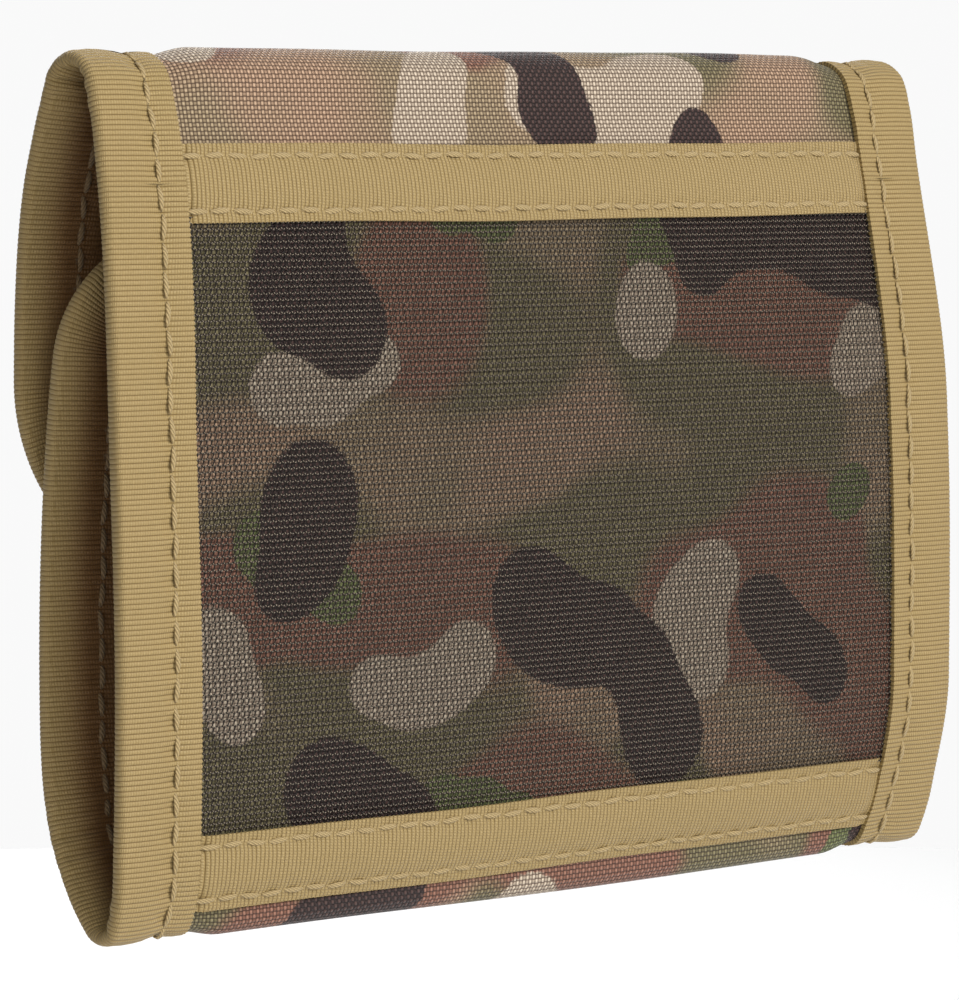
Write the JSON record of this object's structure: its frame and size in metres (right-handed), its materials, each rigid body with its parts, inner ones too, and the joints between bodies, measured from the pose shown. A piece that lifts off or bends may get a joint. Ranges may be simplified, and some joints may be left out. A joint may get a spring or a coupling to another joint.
{
  "type": "trifold wallet",
  "caption": "Closed trifold fabric wallet with a sheer mesh window on its back, grosgrain bindings, two soft folds, a hook-and-loop flap and a zipped coin pocket inside.",
  "frame": {"origin": "middle of the closed wallet's box, on the plane of its bottom fold", "axes": "+X across the width, to the right seen from the back; +Y from the mesh window to the closing flap; +Z from the bottom fold to the top fold"},
  "size_m": [0.13, 0.0226, 0.1004],
  "materials": {
    "printed_fabric": "woven polyester with a printed woodland pattern",
    "binding_tape": "ribbed grosgrain, slight sheen",
    "flat_tape": "ribbed grosgrain, slight sheen",
    "window_mesh": "sheer plain-weave mesh",
    "foam_board": "closed-cell foam sheet",
    "lining_fabric": "plain-weave nylon lining",
    "hook_tape": "moulded hooks on a woven tape",
    "loop_tape": "brushed loop pile",
    "zip_coil": "nylon coil",
    "zip_tape": "fine woven zip tape",
    "zip_metal": "dull painted zinc"
  },
  "bodies": {
    "back": {"back_shell": "printed_fabric", "back_stiffener": "foam_board", "back_lining": "lining_fabric", "window_mesh": "window_mesh", "window_tape_top": "flat_tape", "window_tape_bottom": "flat_tape", "back_binding_left": "binding_tape", "back_binding_right": "binding_tape", "note_divider": "lining_fabric", "card_pocket_upper": "lining_fabric", "card_pocket_upper_tape": "flat_tape", "card_pocket_lower": "lining_fabric", "card_pocket_lower_tape": "flat_tape"},
    "top_spine": {"top_spine_shell": "printed_fabric", "top_spine_lining": "lining_fabric", "top_spine_binding_left": "binding_tape", "top_spine_binding_right": "binding_tape"},
    "flap": {"flap_shell": "printed_fabric", "flap_stiffener": "foam_board", "flap_lining": "lining_fabric", "flap_binding": "binding_tape", "hook_patch": "hook_tape"},
    "bottom_spine": {"bottom_spine_shell": "printed_fabric", "bottom_spine_lining": "lining_fabric", "bottom_spine_binding_left": "binding_tape", "bottom_spine_binding_right": "binding_tape"},
    "front": {"front_shell": "printed_fabric", "front_stiffener": "foam_board", "front_lining": "lining_fabric", "front_binding": "binding_tape", "loop_patch": "loop_tape", "coin_pocket_upper": "lining_fabric", "coin_pocket_lower": "lining_fabric", "zip_tape_upper": "zip_tape", "zip_tape_lower": "zip_tape", "zip_coil_upper": "zip_coil", "zip_coil_lower": "zip_coil", "zip_stop_closed": "zip_metal", "zip_stop_open": "zip_metal"},
    "zip_slider": {"zip_slider": "zip_metal"},
    "zip_pull": {"zip_pull": "zip_metal"}
  },
  "joints": [
    {"name": "top_fold_back", "type": "hinge", "parent": "back", "child": "top_spine", "pos_m": [0, -0.00383, 0.0988], "axis": [1, 0, 0], "range_deg": [0, 150]},
    {"name": "top_fold_flap", "type": "hinge", "parent": "top_spine", "child": "flap", "pos_m": [0, 0.00408, 0.09893], "axis": [1, 0, 0], "range_deg": [0, 180]},
    {"name": "bottom_fold_back", "type": "hinge", "parent": "back", "child": "bottom_spine", "pos_m": [0, -0.00703, 0.0004], "axis": [-1, 0, 0], "range_deg": [0, 90]},
    {"name": "bottom_fold_front", "type": "hinge", "parent": "bottom_spine", "child": "front", "pos_m": [0, 0.00497, 0.01089], "axis": [-1, 0, 0], "range_deg": [0, 90]},
    {"name": "zip_slide", "type": "slide", "parent": "front", "child": "zip_slider", "axis": [1, 0, 0], "range_m": [0, 0.074]},
    {"name": "zip_pull_hinge", "type": "hinge", "parent": "zip_slider", "child": "zip_pull", "pos_m": [-0.038, -0.00082, 0.03385], "axis": [0, 0.0111, -0.9999], "range_deg": [0, 120]}
  ],
  "couplings": [
    {"joint": "top_fold_flap", "follows": "top_fold_back", "ratio": 1.2},
    {"joint": "bottom_fold_back", "follows": "top_fold_back", "ratio": 0.6},
    {"joint": "bottom_fold_front", "follows": "top_fold_back", "ratio": 0.6},
    {"joint": "zip_pull_hinge", "follows": "top_fold_back", "ratio": 0.8}
  ]
}
